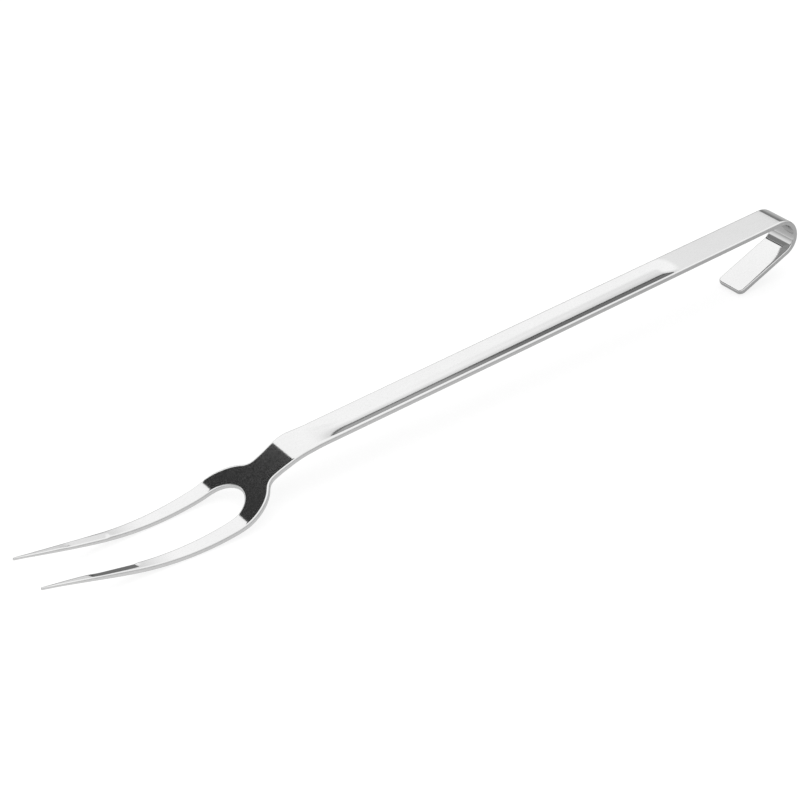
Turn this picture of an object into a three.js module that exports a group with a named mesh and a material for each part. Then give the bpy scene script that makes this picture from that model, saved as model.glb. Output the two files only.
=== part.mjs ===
// Two-tine meat fork with a hanging hook, bent from one strip of steel plate.
// Millimetres, +Z up. The fork lies on a flat surface: the bellies of the tines and the
// end of the hook touch it. +X runs from the tine tips to the hook, Y is the width.
import * as THREE from "three";
import { mergeVertices } from "three/addons/utils/BufferGeometryUtils.js";

// ---- driving dimensions -------------------------------------------------------------
const PLATE = 2.6;            // thickness of the steel plate
const HANDLE_HALF = 10;       // half width of the handle strip
const HOOK_HALF = 9.4;        // the strip narrows a little towards the hook
const TAPER_LENGTH = 170;

// profile of the upper face, followed from the tine tips to the end of the hook
const TIP_STRAIGHT = 44.5;    // straight end of each tine
const TIP_RISE_DEG = 14;      // upward slope of that straight end
const TINE_RADIUS = 142;      // long upward curve of the tines
const HEEL_SLOPE_DEG = 7;     // slope where the long curve meets the heel
const HEEL_RADIUS = 36;       // tight bend between the tines and the neck
const NECK_SLOPE_DEG = 19.9;  // slope of the neck against the handle
const NECK_STRAIGHT = 34.8;
const NECK_RADIUS = 28;       // bend between neck and handle
const HANDLE_STRAIGHT = 292.1;
const HOOK_RADIUS = 10.8;     // outside radius of the hook
const HOOK_TURN_DEG = 160.9;
const LEG_STRAIGHT = 34.5;
const LEG_CORNER = 3.2;       // rounded corners at the end of the leg

// outline of the flat plate, measured along the plate from the tine tips
const TIP_OFFSET = 14.7;      // tine tip, measured from the centre line
const BOW_SHARE = 0.62;       // share of the tine's widening that comes early, as a power curve
const BOW_POWER = 0.72;
const TIP_HALF = 0.35;        // half width of the blunt point
const CROTCH_AT = 112.8;      // root of the gap between the tines
const GAP_HALF = 13;          // half width of the gap, also the radius of its root
const POINT_LENGTH = 26;      // length over which each tine narrows to its point
const SHOULDER_AT = 103;      // widest place of the head
const SHOULDER_HALF = 22.9;
const SHOULDER_RADIUS = 23.5;
const SHOULDER_ANGLE_DEG = 56;
const NECK_FILLET = 6.7;
const NECK_BLEND = 22;        // length over which the neck widens to the handle
const NECK_SWELL = 0.8;       // the strip spreads a little where it is bent at the neck
const SWELL_REACH = 14;

// a short dish along the inner edge of each tine, and the thinning towards the tips
const DISH_FROM = 49;         // distance from the tip where the dish starts
const DISH_START = 2.5;       // length over which it reaches its full depth
const DISH_TO = 22;           // where it has run out towards the tip
const DISH_END = 8;           // length over which it runs out
const DISH_WIDTH = 4.2;
const DISH_DROP = 0.47;       // drop of the inner edge of the upper face
const TIP_THICKNESS = 1.3;
const THIN_LENGTH = 45;       // length over which the tines thin to the tips

// pressed stiffening channel in the handle
const CHANNEL_FROM = 149;
const CHANNEL_TO = 377;
const CHANNEL_HALF = 8.5;
const CHANNEL_DEPTH = 1.1;
const CHANNEL_FADE = 26;      // length over which it fades out at the neck end
const CHANNEL_END = 10;       // and at the hook end

const rad = THREE.MathUtils.degToRad;
const clamp01 = (v) => Math.min(1, Math.max(0, v));
const smooth = (v) => {
  const c = clamp01(v);
  return c * c * (3 - 2 * c);
};

// ---- profile ------------------------------------------------------------------------
// Each segment is a length and the angle it turns by; a straight turns by nothing.
const segments = [
  { length: TIP_STRAIGHT, turn: 0 },
  { length: TINE_RADIUS * rad(TIP_RISE_DEG + HEEL_SLOPE_DEG), turn: rad(TIP_RISE_DEG + HEEL_SLOPE_DEG) },
  { length: HEEL_RADIUS * rad(NECK_SLOPE_DEG - HEEL_SLOPE_DEG), turn: rad(NECK_SLOPE_DEG - HEEL_SLOPE_DEG) },
  { length: NECK_STRAIGHT, turn: 0 },
  { length: NECK_RADIUS * rad(NECK_SLOPE_DEG), turn: -rad(NECK_SLOPE_DEG) },
  { length: HANDLE_STRAIGHT, turn: 0 },
  { length: HOOK_RADIUS * rad(HOOK_TURN_DEG), turn: -rad(HOOK_TURN_DEG) },
  { length: LEG_STRAIGHT, turn: 0 },
];
const joints = [0];
for (const seg of segments) joints.push(joints.at(-1) + seg.length);
const TOTAL = joints.at(-1);
const HOOK_FROM = joints[6];
const LEG_FROM = joints[7];

// Point and direction of the upper face at the distance s from the tips.
function along(s) {
  let x = 0;
  let z = 0;
  let heading = -rad(TIP_RISE_DEG);
  for (let i = 0; i < segments.length; i += 1) {
    const seg = segments[i];
    const d = Math.min(s - joints[i], seg.length);
    if (d <= 0) break;
    const turned = (seg.turn * d) / seg.length;
    if (seg.turn === 0) {
      x += d * Math.cos(heading);
      z += d * Math.sin(heading);
    } else {
      const r = seg.length / seg.turn;
      x += r * (Math.sin(heading + turned) - Math.sin(heading));
      z -= r * (Math.cos(heading + turned) - Math.cos(heading));
    }
    heading += turned;
  }
  return { x, z, heading };
}

// ---- outline of the flat plate --------------------------------------------------------
// The spread of the strip at the bend between neck and handle.
function swell(s) {
  const v = (s - (joints[4] + joints[5]) / 2) / SWELL_REACH;
  return Math.abs(v) < 1 ? NECK_SWELL * (1 - v * v) ** 2 : 0;
}

function outerHalf(s) {
  return cutHalf(s) + swell(s);
}

function cutHalf(s) {
  const steep = rad(SHOULDER_ANGLE_DEG);
  const joinAt = SHOULDER_AT + SHOULDER_RADIUS * Math.sin(steep);
  const joinHalf = SHOULDER_HALF - SHOULDER_RADIUS * (1 - Math.cos(steep));
  const neckAt = joinAt + NECK_FILLET * Math.sin(steep);
  const neckHalf = joinHalf - NECK_FILLET * (1 - Math.cos(steep));
  if (s > LEG_FROM) {
    const left = TOTAL - s;
    const d = Math.max(0, LEG_CORNER - left);
    return HOOK_HALF - LEG_CORNER + Math.sqrt(Math.max(0, LEG_CORNER ** 2 - d ** 2));
  }
  if (s >= neckAt) {
    const strip = neckHalf + (HANDLE_HALF - neckHalf) * smooth((s - neckAt) / NECK_BLEND);
    return strip + (HOOK_HALF - HANDLE_HALF) * clamp01((s - HOOK_FROM + TAPER_LENGTH) / TAPER_LENGTH);
  }
  if (s >= joinAt) return neckHalf + NECK_FILLET - Math.sqrt(NECK_FILLET ** 2 - (neckAt - s) ** 2);
  if (s >= SHOULDER_AT) {
    return SHOULDER_HALF - SHOULDER_RADIUS + Math.sqrt(SHOULDER_RADIUS ** 2 - (s - SHOULDER_AT) ** 2);
  }
  // the outer edge of a tine: a long bow from the shoulder to the tip
  const v = s / SHOULDER_AT;
  const start = TIP_OFFSET + TIP_HALF;
  const bow = BOW_SHARE * Math.pow(v, BOW_POWER) + (1 - BOW_SHARE) * smooth(v);
  return start + (SHOULDER_HALF - start) * bow;
}

function innerHalf(s) {
  const centre = CROTCH_AT - GAP_HALF;
  if (s >= CROTCH_AT) return 0;
  if (s > centre) return Math.sqrt(Math.max(0, GAP_HALF ** 2 - (s - centre) ** 2));
  const v = clamp01(1 - s / POINT_LENGTH);
  return GAP_HALF + (TIP_OFFSET - TIP_HALF - GAP_HALF) * v * v;
}

// ---- height of the two faces above the profile line -----------------------------------
function faces(s, y) {
  const w = Math.abs(y);
  let top = 0;
  let bottom = -PLATE;
  if (s < CROTCH_AT) {
    const run = smooth((DISH_FROM - s) / DISH_START) * smooth((s - DISH_TO) / DISH_END);
    top -= DISH_DROP * run * clamp01(1 - (w - innerHalf(s)) / DISH_WIDTH);
    bottom += (PLATE - TIP_THICKNESS) * (1 - smooth(s / THIN_LENGTH));
  }
  if (s > CHANNEL_FROM && s < CHANNEL_TO) {
    const run = smooth((s - CHANNEL_FROM) / CHANNEL_FADE) * smooth((CHANNEL_TO - s) / CHANNEL_END);
    const across = clamp01(1 - (w / CHANNEL_HALF) ** 2);
    top -= CHANNEL_DEPTH * run * across;
    bottom -= CHANNEL_DEPTH * run * across;
  }
  return { top, bottom };
}

// ---- mesh of the bent plate -------------------------------------------------------------
// Rows across the plate, close together where it curves or changes width. Each row has its
// distance at the inner end and at the outer edge, which differ only round the root of the gap.
function stations() {
  const list = [];
  const run = (from, to, count) => {
    for (let i = 0; i < count; i += 1) {
      const s = from + ((to - from) * i) / count;
      list.push({ inside: s, outside: s });
    }
  };
  const centre = CROTCH_AT - GAP_HALF;
  run(0, DISH_TO, 5);
  run(DISH_TO, DISH_FROM, 10);
  run(DISH_FROM, joints[2], 9);
  run(joints[2], centre, 2);
  const arcSteps = 14;
  for (let i = 0; i < arcSteps; i += 1) {
    list.push({
      inside: centre + GAP_HALF * Math.sin((Math.PI / 2) * (i / arcSteps)),
      outside: centre + (GAP_HALF * i) / arcSteps,
    });
  }
  run(CROTCH_AT, joints[4], 14);
  run(joints[4], joints[5], 8);
  run(joints[5], CHANNEL_FROM, 2);
  run(CHANNEL_FROM, CHANNEL_FROM + CHANNEL_FADE, 6);
  run(CHANNEL_FROM + CHANNEL_FADE, CHANNEL_TO - CHANNEL_END, 12);
  run(CHANNEL_TO - CHANNEL_END, CHANNEL_TO, 5);
  run(CHANNEL_TO, HOOK_FROM, 2);
  run(HOOK_FROM, LEG_FROM, 16);
  run(LEG_FROM, TOTAL - LEG_CORNER, 2);
  const cornerSteps = 4;
  for (let i = 0; i <= cornerSteps; i += 1) {
    const s = TOTAL - LEG_CORNER + LEG_CORNER * Math.sin((Math.PI / 2) * (i / cornerSteps));
    list.push({ inside: s, outside: s });
  }
  return list;
}

const COLUMNS = [0, 0.14, 0.28, 0.42, 0.56, 0.7, 0.84, 1];

// Builds one closed mesh: two mirrored halves that share the centre line behind the gap.
function bentPlate(place) {
  const rows = stations();
  const last = rows.length - 1;
  const points = [];
  const faceList = [];
  const vertex = (s, y, height) => {
    const p = along(s);
    const x = p.x - height * Math.sin(p.heading);
    const z = p.z + height * Math.cos(p.heading);
    points.push(...place(x, y, z));
    return points.length / 3 - 1;
  };
  const quad = (a, b, c, d, flip) => {
    const order = flip ? [a, c, b, a, d, c] : [a, b, c, a, c, d];
    faceList.push(...order);
  };
  for (const side of [1, -1]) {
    const top = [];
    const bottom = [];
    for (const { inside, outside } of rows) {
      const inner = innerHalf(inside);
      const outer = outerHalf(outside);
      const line = COLUMNS.map((u) => ({
        s: inside + (outside - inside) * u,
        y: side * (inner + (outer - inner) * u),
      }));
      top.push(line.map(({ s, y }) => vertex(s, y, faces(s, y).top)));
      bottom.push(line.map(({ s, y }) => vertex(s, y, faces(s, y).bottom)));
    }
    const flip = side < 0;
    const edge = COLUMNS.length - 1;
    for (let i = 0; i < last; i += 1) {
      for (let k = 0; k < edge; k += 1) {
        quad(top[i][k], top[i + 1][k], top[i + 1][k + 1], top[i][k + 1], flip);
        quad(bottom[i][k], bottom[i][k + 1], bottom[i + 1][k + 1], bottom[i + 1][k], flip);
      }
      quad(top[i][edge], top[i + 1][edge], bottom[i + 1][edge], bottom[i][edge], flip);
      if (rows[i].inside < CROTCH_AT) quad(top[i][0], bottom[i][0], bottom[i + 1][0], top[i + 1][0], flip);
    }
    for (let k = 0; k < edge; k += 1) {
      quad(top[0][k], top[0][k + 1], bottom[0][k + 1], bottom[0][k], flip);
      quad(top[last][k], bottom[last][k], bottom[last][k + 1], top[last][k + 1], flip);
    }
  }
  const geometry = new THREE.BufferGeometry();
  geometry.setAttribute("position", new THREE.Float32BufferAttribute(points, 3));
  geometry.setIndex(faceList);
  const welded = mergeVertices(geometry, 1e-4);
  welded.computeVertexNormals();
  return welded;
}

// ---- resting position -------------------------------------------------------------------
// The fork is turned about Y until the bellies and the end of the leg are level, then moved
// so that the middle of its box is over the origin and its lowest points are at z = 0.
function restingPlacement() {
  const samples = 400;
  const lowest = (from, to, angle) => {
    let low = Infinity;
    for (let i = 0; i <= samples; i += 1) {
      const s = from + ((to - from) * i) / samples;
      const p = along(s);
      for (const height of [0, faces(s, 0).bottom]) {
        const x = p.x - height * Math.sin(p.heading);
        const z = p.z + height * Math.cos(p.heading);
        low = Math.min(low, z * Math.cos(angle) + x * Math.sin(angle));
      }
    }
    return low;
  };
  const halvings = 50;
  let level = 0;
  let steep = rad(8);
  for (let i = 0; i < halvings; i += 1) {
    const mid = (level + steep) / 2;
    if (lowest(LEG_FROM, TOTAL, mid) < lowest(0, CROTCH_AT, mid)) level = mid;
    else steep = mid;
  }
  const cos = Math.cos(level);
  const sin = Math.sin(level);
  return (x, y, z) => [x * cos - z * sin, y, x * sin + z * cos];
}

const loose = bentPlate(restingPlacement());
loose.computeBoundingBox();
const box = loose.boundingBox;
const shiftX = -(box.min.x + box.max.x) / 2;
const shiftZ = -box.min.z;
loose.translate(shiftX, 0, shiftZ);

const steel = new THREE.MeshStandardMaterial({ color: 0xd6d6d6, metalness: 1, roughness: 0.12 });
steel.name = "polished_steel";

const forkBody = new THREE.Mesh(loose, steel);
forkBody.name = "fork_body";

const group = new THREE.Group();
group.name = "meat_fork";
group.add(forkBody);

export default group;
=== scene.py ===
"""Two-tine meat fork in mirror-polished steel, lying on a pale floor under soft studio light."""

import math

import bmesh
import bpy
from mathutils import Matrix, Vector


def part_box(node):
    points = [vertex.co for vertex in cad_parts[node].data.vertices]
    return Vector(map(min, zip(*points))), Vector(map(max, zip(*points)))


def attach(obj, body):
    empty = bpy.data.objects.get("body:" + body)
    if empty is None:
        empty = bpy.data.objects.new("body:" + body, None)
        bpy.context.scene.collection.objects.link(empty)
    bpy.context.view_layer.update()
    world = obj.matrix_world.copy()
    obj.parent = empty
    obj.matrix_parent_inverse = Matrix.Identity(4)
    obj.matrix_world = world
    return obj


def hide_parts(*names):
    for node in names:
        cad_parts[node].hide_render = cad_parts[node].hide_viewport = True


MM = 0.001

# ---- shape of the fork, in millimetres: the same driving dimensions as the CAD ---------
PLATE = 2.6               # thickness of the steel plate
HANDLE_HALF = 10.0        # half width of the handle strip
HOOK_HALF = 9.4           # half width at the hook
TAPER_LENGTH = 170.0

# profile of the upper face, from the tine tips to the end of the hook
TIP_STRAIGHT = 44.5
TIP_RISE = math.radians(14)
TINE_RADIUS = 142.0
HEEL_SLOPE = math.radians(7)
HEEL_RADIUS = 36.0
NECK_SLOPE = math.radians(19.9)
NECK_STRAIGHT = 34.8
NECK_RADIUS = 28.0
HANDLE_STRAIGHT = 292.1
HOOK_RADIUS = 10.8
HOOK_TURN = math.radians(160.9)
LEG_STRAIGHT = 34.5
LEG_CORNER = 3.2

# outline of the flat plate, with distances measured along it from the tine tips
TIP_OFFSET = 14.7         # tine tip, from the centre line
TIP_HALF = 0.35           # half width of the blunt point
CROTCH_AT = 112.8         # root of the gap between the tines
GAP_HALF = 13.0
POINT_LENGTH = 26.0       # length over which each tine narrows to its point
BOW_SHARE = 0.62          # share of a tine's widening that comes early, as a power curve
BOW_POWER = 0.72
SHOULDER_AT = 103.0       # widest place of the head
SHOULDER_HALF = 22.9
SHOULDER_RADIUS = 23.5
SHOULDER_ANGLE = math.radians(56)
NECK_FILLET = 6.7
NECK_BLEND = 22.0         # length over which the neck widens to the handle
NECK_SWELL = 0.8
SWELL_REACH = 14.0

# short dish along the inner edge of each tine, and the thinning towards the tips
DISH_FROM = 49.0
DISH_START = 2.5
DISH_TO = 22.0
DISH_END = 8.0
DISH_WIDTH = 4.2
DISH_DROP = 0.47
TIP_THICKNESS = 1.3
THIN_LENGTH = 45.0

# pressed channel in the handle
CHANNEL_FROM = 149.0
CHANNEL_TO = 377.0
CHANNEL_HALF = 8.5
CHANNEL_DEPTH = 1.1
CHANNEL_FADE = 26.0
CHANNEL_END = 10.0

# fineness of the mesh
EDGE_ROUND = 0.85         # radius that the polishing leaves on the edges
ROUND_STEPS = 6           # steps from a face to the middle of its rounded edge
EDGE_FROM = 0.55          # share of the rounding where the duller cut edge starts
EDGE_SOFT = 0.4           # and the share over which it comes in
NARROW_SHARE = 0.42       # most of a narrow tine's width that one rounding takes
COLUMNS = 14              # quads across each half of the plate
ARC_ROWS = 24             # rows round the root of the gap
CORNER_ROWS = 10          # rows round the corners of the leg
SQUARE_ROWS = 12          # rows behind the gap over which slanted rows turn square
TIP_REACH = 0.35          # the blunt point stands this far out of the last row
TIP_LIFT = 0.08


def clamp01(v):
    return min(1.0, max(0.0, v))


def smooth(v):
    c = clamp01(v)
    return c * c * (3 - 2 * c)


SEGMENTS = [
    (TIP_STRAIGHT, 0.0),
    (TINE_RADIUS * (TIP_RISE + HEEL_SLOPE), TIP_RISE + HEEL_SLOPE),
    (HEEL_RADIUS * (NECK_SLOPE - HEEL_SLOPE), NECK_SLOPE - HEEL_SLOPE),
    (NECK_STRAIGHT, 0.0),
    (NECK_RADIUS * NECK_SLOPE, -NECK_SLOPE),
    (HANDLE_STRAIGHT, 0.0),
    (HOOK_RADIUS * HOOK_TURN, -HOOK_TURN),
    (LEG_STRAIGHT, 0.0),
]
JOINS = [0.0]
for length, _turn in SEGMENTS:
    JOINS.append(JOINS[-1] + length)
TOTAL = JOINS[-1]
HOOK_FROM = JOINS[6]
LEG_FROM = JOINS[7]


def along(s):
    """Point and direction of the upper face at the distance s from the tine tips."""
    x = z = 0.0
    heading = -TIP_RISE
    for i, (length, turn) in enumerate(SEGMENTS):
        last = i == len(SEGMENTS) - 1
        d = s - JOINS[i] if last else min(s - JOINS[i], length)
        if d <= 0 and i > 0:
            break
        if turn == 0:
            x += d * math.cos(heading)
            z += d * math.sin(heading)
            continue
        turned = turn * d / length
        r = length / turn
        x += r * (math.sin(heading + turned) - math.sin(heading))
        z -= r * (math.cos(heading + turned) - math.cos(heading))
        heading += turned
    return x, z, heading


def swell(s):
    """The spread of the strip at the bend between neck and handle."""
    v = (s - (JOINS[4] + JOINS[5]) / 2) / SWELL_REACH
    return NECK_SWELL * (1 - v * v) ** 2 if abs(v) < 1 else 0.0


def outer_half(s):
    """Half width of the flat plate, out to its edge."""
    return cut_half(s) + swell(s)


def cut_half(s):
    """Half width before the neck is bent."""
    join_at = SHOULDER_AT + SHOULDER_RADIUS * math.sin(SHOULDER_ANGLE)
    join_half = SHOULDER_HALF - SHOULDER_RADIUS * (1 - math.cos(SHOULDER_ANGLE))
    neck_at = join_at + NECK_FILLET * math.sin(SHOULDER_ANGLE)
    neck_half = join_half - NECK_FILLET * (1 - math.cos(SHOULDER_ANGLE))
    if s > LEG_FROM:
        d = max(0.0, LEG_CORNER - (TOTAL - s))
        return HOOK_HALF - LEG_CORNER + math.sqrt(max(0.0, LEG_CORNER**2 - d**2))
    if s >= neck_at:
        strip = neck_half + (HANDLE_HALF - neck_half) * smooth((s - neck_at) / NECK_BLEND)
        taper = clamp01((s - HOOK_FROM + TAPER_LENGTH) / TAPER_LENGTH)
        return strip + (HOOK_HALF - HANDLE_HALF) * taper
    if s >= join_at:
        return neck_half + NECK_FILLET - math.sqrt(NECK_FILLET**2 - (neck_at - s) ** 2)
    if s >= SHOULDER_AT:
        from_widest = s - SHOULDER_AT
        return SHOULDER_HALF - SHOULDER_RADIUS + math.sqrt(SHOULDER_RADIUS**2 - from_widest**2)
    v = max(0.0, s / SHOULDER_AT)
    start = TIP_OFFSET + TIP_HALF
    bow = BOW_SHARE * v**BOW_POWER + (1 - BOW_SHARE) * v * v * (3 - 2 * v)
    return start + (SHOULDER_HALF - start) * bow


def inner_half(s):
    """Half width of the gap between the tines."""
    centre = CROTCH_AT - GAP_HALF
    if s >= CROTCH_AT:
        return 0.0
    if s > centre:
        return math.sqrt(max(0.0, GAP_HALF**2 - (s - centre) ** 2))
    v = clamp01(1 - s / POINT_LENGTH)
    return GAP_HALF + (TIP_OFFSET - TIP_HALF - GAP_HALF) * v * v


def face_heights(s, y):
    """Heights of the upper and lower face against the profile line."""
    w = abs(y)
    top = 0.0
    bottom = -PLATE
    if s < CROTCH_AT:
        run = smooth((DISH_FROM - s) / DISH_START) * smooth((s - DISH_TO) / DISH_END)
        top -= DISH_DROP * run * clamp01(1 - (w - inner_half(s)) / DISH_WIDTH)
        bottom += (PLATE - TIP_THICKNESS) * (1 - smooth(s / THIN_LENGTH))
    if CHANNEL_FROM < s < CHANNEL_TO:
        run = smooth((s - CHANNEL_FROM) / CHANNEL_FADE) * smooth((CHANNEL_TO - s) / CHANNEL_END)
        across = clamp01(1 - (w / CHANNEL_HALF) ** 2)
        top -= CHANNEL_DEPTH * run * across
        bottom -= CHANNEL_DEPTH * run * across
    return top, bottom


def stations():
    """Rows across the plate, each with its distance at the inner end and at the outer edge."""
    rows = []

    def run(start, end, step):
        count = max(1, round((end - start) / step))
        for i in range(count):
            s = start + (end - start) * i / count
            rows.append((s, s))

    centre = CROTCH_AT - GAP_HALF
    run(0, 3, 0.5)
    run(3, DISH_TO, 1.25)
    run(DISH_TO, DISH_FROM, 0.6)
    run(DISH_FROM, JOINS[2], 1.2)
    run(JOINS[2], centre, 0.6)
    for i in range(ARC_ROWS + 1):
        share = i / ARC_ROWS
        rows.append((centre + GAP_HALF * math.sin(math.pi / 2 * share), centre + GAP_HALF * share))
    run(CROTCH_AT + 0.9, JOINS[4], 0.9)
    run(JOINS[4], JOINS[5], 0.5)
    run(JOINS[5], CHANNEL_FROM + CHANNEL_FADE, 1.2)
    run(CHANNEL_FROM + CHANNEL_FADE, CHANNEL_TO - CHANNEL_END, 3.0)
    run(CHANNEL_TO - CHANNEL_END, CHANNEL_TO, 0.7)
    run(CHANNEL_TO, HOOK_FROM, 4.0)
    run(HOOK_FROM, LEG_FROM, 0.55)
    run(LEG_FROM, TOTAL - LEG_CORNER, 2.0)
    for i in range(CORNER_ROWS + 1):
        s = TOTAL - LEG_CORNER + LEG_CORNER * math.sin(math.pi / 2 * i / CORNER_ROWS)
        rows.append((s, s))
    return rows


def outline(distances, half, away):
    """Points of an outline, each with the direction that points out of the plate there."""
    points = [(s, half(s)) for s in distances]
    result = []
    for i, point in enumerate(points):
        before = points[max(0, i - 1)]
        after = points[min(len(points) - 1, i + 1)]
        run = after[0] - before[0]
        rise = after[1] - before[1]
        size = math.hypot(run, rise) or 1.0
        result.append((point, (-rise / size * away, run / size * away)))
    return result


def moved_in(point, normal, distance):
    """A point of an outline, moved into the plate."""
    return point[0] - normal[0] * distance, point[1] - normal[1] * distance


class Sheet:
    """The mesh of the bent plate. Each vertex remembers its place on the flat strip."""

    def __init__(self, place):
        self.place = place
        self.mesh = bmesh.new()
        self.uv = self.mesh.loops.layers.uv.new("strip")
        self.cut_edge = self.mesh.verts.layers.float.new("cut_edge")
        self.flat = {}

    def vertex(self, s, y, level, edge=0.0):
        """A vertex on the upper face for level 0, on the lower face for level 1, or between."""
        top, bottom = face_heights(s, y)
        height = top + (bottom - top) * level
        x, z, heading = along(s)
        point = self.place(x - height * math.sin(heading), y, z + height * math.cos(heading))
        v = self.mesh.verts.new(point)
        v[self.cut_edge] = edge
        self.flat[v] = (s, y)
        return v

    def rounding(self, point, normal, radius, side):
        """The rounded edge, from the upper face round to the lower one, without its ends."""
        share = radius / PLATE
        turns = [math.pi / 2 * j / ROUND_STEPS for j in range(1, ROUND_STEPS + 1)]
        down = [(math.sin(t), (1 - math.cos(t)) * share) for t in turns]
        up = [(out, 1 - level) for out, level in reversed(down)]
        ring = []
        for out, level in down + up:
            s, w = moved_in(point, normal, radius * (1 - out))
            ring.append(self.vertex(s, side * w, level, smooth((out - EDGE_FROM) / EDGE_SOFT)))
        return ring

    def join(self, first, second, flip):
        """Quads between two neighbouring lines of vertices, or triangles where they meet."""
        for a, b, c, d in zip(first, first[1:], second[1:], second):
            corners = list(dict.fromkeys([a, d, c, b] if flip else [a, b, c, d]))
            if len(corners) > 2:
                self.mesh.faces.new(corners)

    def finish(self, name):
        """Turns the mesh into an object, with the flat strip as its UV map."""
        bmesh.ops.recalc_face_normals(self.mesh, faces=self.mesh.faces)
        for face in self.mesh.faces:
            face.smooth = True
            for loop in face.loops:
                s, y = self.flat[loop.vert]
                loop[self.uv].uv = (s * MM, y * MM)
        data = bpy.data.meshes.new(name)
        self.mesh.to_mesh(data)
        self.mesh.free()
        obj = bpy.data.objects.new(name, data)
        bpy.context.scene.collection.objects.link(obj)
        return obj


def face_lines(sheet, start, end, side, centre):
    """A line of vertices across each face. centre holds the ones that both halves share."""
    pairs = []
    for k in range(COLUMNS + 1):
        u = k / COLUMNS
        s = start[0] + (end[0] - start[0]) * u
        y = side * (start[1] + (end[1] - start[1]) * u)
        if k == 0 and centre:
            pairs.append(centre)
        else:
            pairs.append((sheet.vertex(s, y, 0.0), sheet.vertex(s, y, 1.0)))
    return [pair[0] for pair in pairs], [pair[1] for pair in pairs]


def plate_half(sheet, side, rows, outer, inner, shared):
    """One half of the plate. shared holds what the first half leaves for the second to use."""
    tops, bottoms, outer_rings, inner_rings = [], [], [], []
    for i, (s, _) in enumerate(rows):
        point, normal = outer[i]
        tine = i < len(inner)
        width = point[1] - (inner[i][0][1] if tine else 0.0)
        radius = min(EDGE_ROUND, NARROW_SHARE * width)
        end = moved_in(point, normal, radius)
        if tine:
            start = moved_in(*inner[i], radius)
        else:
            start = (s + (end[0] - s) * clamp01((i - len(inner)) / SQUARE_ROWS), 0.0)
        top, bottom = face_lines(sheet, start, end, side, shared.get(i))
        if start[1] == 0.0:
            shared[i] = (top[0], bottom[0])
        tops.append(top)
        bottoms.append(bottom)
        outer_rings.append([top[-1]] + sheet.rounding(point, normal, radius, side) + [bottom[-1]])
        if tine and start[1] == 0.0 and "root" in shared:
            inner_rings.append(shared["root"])
        elif tine:
            inner_rings.append([top[0]] + sheet.rounding(*inner[i], radius, side) + [bottom[0]])
    shared["root"] = inner_rings[-1]

    flip = side > 0
    for i in range(len(rows) - 1):
        sheet.join(tops[i], tops[i + 1], not flip)
        sheet.join(bottoms[i], bottoms[i + 1], flip)
        sheet.join(outer_rings[i], outer_rings[i + 1], not flip)
        if i < len(inner) - 1:
            sheet.join(inner_rings[i], inner_rings[i + 1], flip)
    close_tip(sheet, tops[0], outer_rings[0], bottoms[0], inner_rings[0], side)
    close_leg(sheet, tops[-1], outer_rings[-1], bottoms[-1], side, shared)


def close_tip(sheet, top, outer_ring, bottom, inner_ring, side):
    """The blunt point of a tine."""
    loop = top + outer_ring[1:-1] + bottom[::-1] + inner_ring[1:-1][::-1]
    middle = sum((v.co for v in loop), Vector()) / len(loop)
    reach = Vector(sheet.place(-TIP_REACH, 0, TIP_LIFT)) - Vector(sheet.place(0, 0, 0))
    tip = sheet.mesh.verts.new(middle + reach)
    sheet.flat[tip] = (0.0, side * TIP_OFFSET)
    for a, b in zip(loop, loop[1:] + loop[:1]):
        sheet.mesh.faces.new([tip, a, b] if side > 0 else [tip, b, a])


def close_leg(sheet, top, outer_ring, bottom, side, shared):
    """The rounded end of the leg."""
    ends = []
    for upper, lower in zip(top[:-1], bottom[:-1]):
        if not ends and "leg" in shared:
            ends.append(shared["leg"])
            continue
        y = sheet.flat[upper][1]
        ring = sheet.rounding((TOTAL, abs(y)), (1.0, 0.0), EDGE_ROUND, side)
        ends.append([upper] + ring + [lower])
    shared["leg"] = ends[0]
    ends.append(outer_ring)
    for first, second in zip(ends, ends[1:]):
        sheet.join(first, second, side > 0)


def build_fork(name, place):
    """The bent plate with rounded edges, as one closed mesh."""
    rows = stations()
    outer = outline([outside for _, outside in rows], outer_half, 1)
    outer[-1] = ((TOTAL, HOOK_HALF - LEG_CORNER), (1.0, 0.0))
    inner = outline([inside for inside, _ in rows if inside <= CROTCH_AT], inner_half, -1)
    inner[-1] = ((CROTCH_AT, 0.0), (-1.0, 0.0))
    sheet = Sheet(place)
    shared = {}
    for side in (1, -1):
        plate_half(sheet, side, rows, outer, inner, shared)
    return sheet.finish(name)


def upright(s, height, level):
    """X and Z of a point at a height over the profile, with the fork turned by the level angle."""
    x, z, heading = along(s)
    x -= height * math.sin(heading)
    z += height * math.cos(heading)
    return x * math.cos(level) - z * math.sin(level), x * math.sin(level) + z * math.cos(level)


def sweep(start, end, level, lower_face):
    """Points of one face of the plate along the centre line."""
    samples = 400
    points = []
    for i in range(samples + 1):
        s = start + (end - start) * i / samples
        height = face_heights(s, 0)[1] if lower_face else 0.0
        points.append(upright(s, height, level))
    return points


def resting_pitch():
    """The angle about Y at which the bellies of the tines and the leg touch the floor together."""

    def lowest(start, end, level):
        return min(z for face in (False, True) for _, z in sweep(start, end, level, face))

    halvings = 40
    flat = 0.0
    steep = math.radians(8)
    for _ in range(halvings):
        middle = (flat + steep) / 2
        if lowest(LEG_FROM, TOTAL, middle) < lowest(0, CROTCH_AT, middle):
            flat = middle
        else:
            steep = middle
    return flat


def resting_place(high):
    """Lays the fork on its tines and leg, with its hook at the high end of the CAD box."""
    level = resting_pitch()
    cos = math.cos(level)
    sin = math.sin(level)
    hook = sweep(HOOK_FROM, LEG_FROM, level, False)
    shift_x = high[0] / MM - max(x for x, _ in hook)
    shift_z = high[2] / MM - max(z for _, z in hook)

    def place(px, py, pz):
        return ((px * cos - pz * sin + shift_x) * MM, py * MM, (px * sin + pz * cos + shift_z) * MM)

    return place


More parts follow.
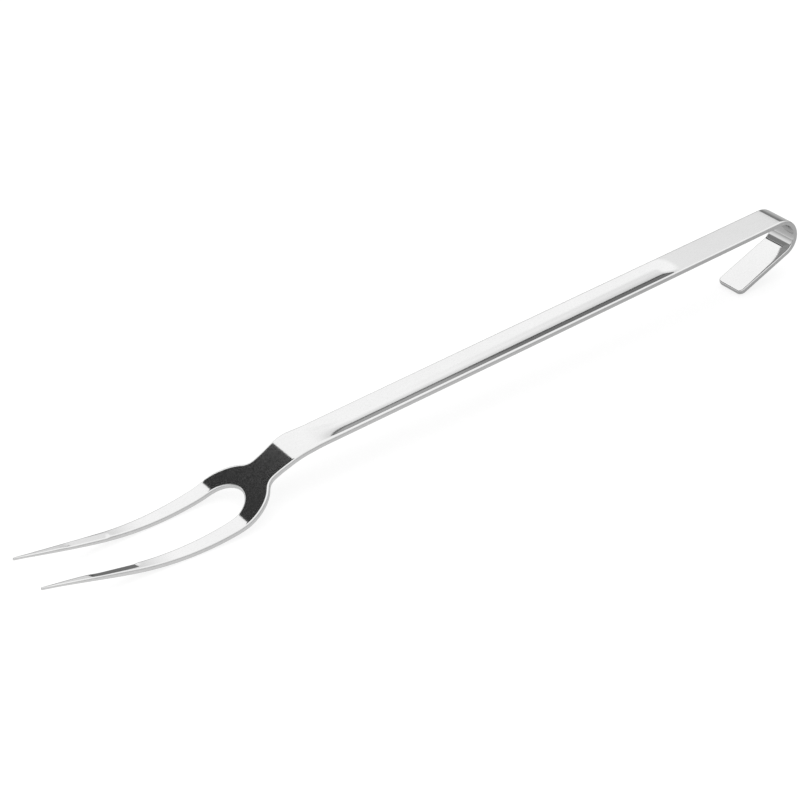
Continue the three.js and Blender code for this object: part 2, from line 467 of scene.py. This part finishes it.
# ---- materials -------------------------------------------------------------------------
def new_nodes(material):
    material.use_nodes = True
    tree = material.node_tree
    tree.nodes.clear()
    return tree


def noise(tree, vector, scale, detail):
    node = tree.nodes.new("ShaderNodeTexNoise")
    node.inputs["Scale"].default_value = scale
    node.inputs["Detail"].default_value = detail
    tree.links.new(vector, node.inputs["Vector"])
    return node.outputs["Fac"]


def spread(tree, value, low, high, start=0.0, end=1.0):
    """Maps a value between start and end to one between low and high."""
    node = tree.nodes.new("ShaderNodeMapRange")
    node.inputs["From Min"].default_value = start
    node.inputs["From Max"].default_value = end
    node.inputs["To Min"].default_value = low
    node.inputs["To Max"].default_value = high
    tree.links.new(value, node.inputs["Value"])
    return node.outputs["Result"]


def maths(tree, operation, *values):
    node = tree.nodes.new("ShaderNodeMath")
    node.operation = operation
    for socket, value in zip(node.inputs, values):
        if isinstance(value, (int, float)):
            socket.default_value = value
        else:
            tree.links.new(value, socket)
    return node.outputs["Value"]


def mix(tree, under, over, amount):
    """Goes from under to over as amount goes from 0 to 1."""
    node = tree.nodes.new("ShaderNodeMix")
    node.data_type = "FLOAT"
    tree.links.new(amount, node.inputs["Factor"])
    for socket, value in (("A", under), ("B", over)):
        if isinstance(value, (int, float)):
            node.inputs[socket].default_value = value
        else:
            tree.links.new(value, node.inputs[socket])
    return node.outputs["Result"]


def bump(tree, height, strength, distance, under=None):
    """Small relief on the surface, on top of the relief in under."""
    node = tree.nodes.new("ShaderNodeBump")
    node.inputs["Strength"].default_value = strength
    node.inputs["Distance"].default_value = distance
    tree.links.new(height, node.inputs["Height"])
    if under:
        tree.links.new(under, node.inputs["Normal"])
    return node.outputs["Normal"]


def polished_steel():
    """Mirror-polished steel: lengthwise grain, cloudy waviness, fine pits, duller cut edges."""
    material = bpy.data.materials.new("polished_steel")
    tree = new_nodes(material)
    link = tree.links.new
    output = tree.nodes.new("ShaderNodeOutputMaterial")
    shader = tree.nodes.new("ShaderNodeBsdfPrincipled")
    shader.inputs["Metallic"].default_value = 1.0
    link(shader.outputs["BSDF"], output.inputs["Surface"])

    strip = tree.nodes.new("ShaderNodeUVMap")
    strip.uv_map = "strip"
    stretched = tree.nodes.new("ShaderNodeMapping")
    stretched.inputs["Scale"].default_value = (14, 900, 1)
    link(strip.outputs["UV"], stretched.inputs["Vector"])
    place = tree.nodes.new("ShaderNodeTexCoord").outputs["Object"]
    grain = noise(tree, stretched.outputs["Vector"], 4.0, 6.0)
    cloud = noise(tree, place, 55.0, 4.0)
    speckle = noise(tree, place, 900.0, 3.0)
    edge = tree.nodes.new("ShaderNodeAttribute")
    edge.attribute_name = "cut_edge"
    edge = edge.outputs["Fac"]

    tone = maths(tree, "MULTIPLY", spread(tree, cloud, 0.595, 0.635), spread(tree, edge, 1.0, 0.96))
    tone = maths(tree, "MULTIPLY", tone, spread(tree, speckle, 0.975, 1.015, 0.3, 0.7))
    grey = tree.nodes.new("ShaderNodeCombineColor")
    for channel in ("Red", "Green", "Blue"):
        link(tone, grey.inputs[channel])
    link(grey.outputs["Color"], shader.inputs["Base Color"])

    dullness = maths(tree, "MULTIPLY_ADD", edge, 0.22, spread(tree, grain, 0.05, 0.11))
    link(dullness, shader.inputs["Roughness"])

    relief = bump(tree, grain, 0.06, 0.00004)
    relief = bump(tree, cloud, 0.25, 0.0001, relief)
    relief = bump(tree, speckle, 0.08, 0.00003, relief)
    link(relief, shader.inputs["Normal"])
    return material


FLOOR_TONE = 0.26         # the floor's own grey, which takes the shadows
GLOW_SEEN = 0.79          # glow of the floor as the camera sees it
GLOW_TINES = 0.72         # glow that the steel mirrors, at the tine end
GLOW_HOOK = 0.34          # and at the hook end
GLOW_REACH = 0.2          # metres from the middle to those ends


def floor_material():
    """Self-lit floor: white to the camera, and pale grey to rays that have bounced."""
    material = bpy.data.materials.new("pale_floor")
    tree = new_nodes(material)
    link = tree.links.new
    output = tree.nodes.new("ShaderNodeOutputMaterial")
    shader = tree.nodes.new("ShaderNodeBsdfPrincipled")
    shader.inputs["Base Color"].default_value = (FLOOR_TONE, FLOOR_TONE, FLOOR_TONE, 1)
    shader.inputs["Roughness"].default_value = 0.9
    shader.inputs["Specular IOR Level"].default_value = 0.0
    shader.inputs["Emission Color"].default_value = (1, 1, 1, 1)
    position = tree.nodes.new("ShaderNodeNewGeometry").outputs["Position"]
    axes = tree.nodes.new("ShaderNodeSeparateXYZ")
    link(position, axes.inputs["Vector"])
    reflected = spread(tree, axes.outputs["X"], GLOW_TINES, GLOW_HOOK, -GLOW_REACH, GLOW_REACH)
    direct = tree.nodes.new("ShaderNodeLightPath").outputs["Is Camera Ray"]
    link(mix(tree, reflected, GLOW_SEEN, direct), shader.inputs["Emission Strength"])
    link(shader.outputs["BSDF"], output.inputs["Surface"])
    return material


# ---- stage -----------------------------------------------------------------------------
FLOOR_HALF = 2.2          # metres
FLOOR_GAP = 0.0004        # keeps the floor clear of the fork


def make_floor():
    mesh = bmesh.new()
    bmesh.ops.create_grid(mesh, x_segments=2, y_segments=2, size=FLOOR_HALF)
    data = bpy.data.meshes.new("floor")
    mesh.to_mesh(data)
    mesh.free()
    floor = bpy.data.objects.new("floor", data)
    floor.location = (0, 0, -FLOOR_GAP)
    data.materials.append(floor_material())
    bpy.context.scene.collection.objects.link(floor)


def make_world():
    """A white studio with grey and dark flags, placed in degrees by height and by bearing from +X."""
    world = bpy.data.worlds.new("studio")
    bpy.context.scene.world = world
    world.use_nodes = True
    tree = world.node_tree
    n = tree.nodes
    n.clear()
    link = tree.links.new
    output = n.new("ShaderNodeOutputWorld")
    background = n.new("ShaderNodeBackground")
    link(background.outputs["Background"], output.inputs["Surface"])
    where = n.new("ShaderNodeTexCoord")
    axes = n.new("ShaderNodeSeparateXYZ")
    link(where.outputs["Generated"], axes.inputs["Vector"])

    def ramp(value, start, end, low=0.0, high=1.0):
        """Goes smoothly from low at start to high at end."""
        node = n.new("ShaderNodeMapRange")
        node.interpolation_type = "SMOOTHSTEP"
        node.inputs["From Min"].default_value = start
        node.inputs["From Max"].default_value = end
        node.inputs["To Min"].default_value = low
        node.inputs["To Max"].default_value = high
        link(value, node.inputs["Value"])
        return node.outputs["Result"]

    def window(value, start, end, soft):
        """1 between start and end, 0 outside, with soft borders."""
        rise = ramp(value, start - soft, start + soft)
        fall = ramp(value, end - soft, end + soft, 1.0, 0.0)
        return maths(tree, "MULTIPLY", rise, fall)

    east, north, up = axes.outputs["X"], axes.outputs["Y"], axes.outputs["Z"]
    height = maths(tree, "DEGREES", maths(tree, "ARCSINE", up))
    bearing = maths(tree, "DEGREES", maths(tree, "ARCTAN2", north, east))

    # the white studio is a little darker low down, and towards the hook end
    sky = ramp(height, 22, 33, 1.12, 1.45)
    low_end = maths(tree, "MULTIPLY", ramp(bearing, 54, 64, 1.0, 0.0), ramp(height, 36, 42, 1.0, 0.0))
    sky = maths(tree, "MULTIPLY", sky, maths(tree, "MULTIPLY_ADD", low_end, -0.16, 1.0))
    # and darker still at the horizon and on the -Y side, so that the steel stands out
    sky = maths(tree, "MULTIPLY", sky, ramp(height, 0, 22, 0.5, 1.0))
    sky = maths(tree, "MULTIPLY", sky, ramp(north, -0.5, 0.05, 0.78, 1.0))
    # a grey flag near the floor, with dark borders and a darker end
    low_flag = maths(tree, "MULTIPLY", window(height, 4, 21, 0.6), window(bearing, 30, 76, 2.5))
    flag_tone = mix(tree, 0.2, 0.54, window(height, 9.5, 17.5, 1.2))
    flag_tone = maths(tree, "MULTIPLY", flag_tone, ramp(bearing, 62.5, 65.5, 0.45, 1.0))
    # a flag that draws the line where the hook starts to bend
    hook_flag = maths(tree, "MULTIPLY", window(height, 2, 30, 0.6), window(bearing, 30, 51, 0.5))
    hook_tone = ramp(height, 5, 26, 0.6, 0.27)
    # the dark flag that the sloping neck mirrors
    high_flag = maths(tree, "MULTIPLY", window(height, 32, 49, 1.5), window(bearing, 96.8, 107, 0.6))
    # a grey flag beside it, which the inside of the hook mirrors
    side_flag = maths(tree, "MULTIPLY", window(height, 28, 52, 2.0), window(bearing, 108, 150, 2.0))
    light = mix(tree, sky, flag_tone, low_flag)
    light = mix(tree, light, 0.3, side_flag)
    light = mix(tree, light, hook_tone, hook_flag)
    light = mix(tree, light, 0.045, high_flag)
    link(light, background.inputs["Strength"])
    background.inputs["Color"].default_value = (1, 1, 1, 1)


def make_camera():
    """The photograph's viewing angle."""
    data = bpy.data.cameras.new("camera")
    data.sensor_width = 36.0
    data.lens = 107.46
    data.clip_start = 0.05
    data.clip_end = 20
    camera = bpy.data.objects.new("camera", data)
    bpy.context.scene.collection.objects.link(camera)
    right = Vector((0.83115, -0.54766, -0.09625))
    up = Vector((0.36174, 0.40109, 0.84158))
    back = Vector((-0.42229, -0.7343, 0.53148))
    turn = Matrix((right, up, back)).transposed().to_4x4()
    camera.matrix_world = Matrix.Translation((-0.51029, -0.85041, 0.63537)) @ turn
    bpy.context.scene.camera = camera


# ---- scene ------------------------------------------------------------------------------
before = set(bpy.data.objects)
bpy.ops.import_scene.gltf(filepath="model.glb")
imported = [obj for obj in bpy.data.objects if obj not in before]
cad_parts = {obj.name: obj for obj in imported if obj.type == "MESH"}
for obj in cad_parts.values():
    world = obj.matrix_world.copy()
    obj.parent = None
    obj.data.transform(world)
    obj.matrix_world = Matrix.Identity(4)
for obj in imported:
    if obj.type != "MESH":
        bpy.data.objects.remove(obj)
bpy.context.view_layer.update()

make_camera()
bpy.context.scene.view_settings.view_transform = "Standard"
make_floor()
make_world()

_, high_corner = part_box("fork_body")
fork = build_fork("fork", resting_place(high_corner))
fork.data.materials.append(polished_steel())
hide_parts("fork_body")
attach(fork, "root")
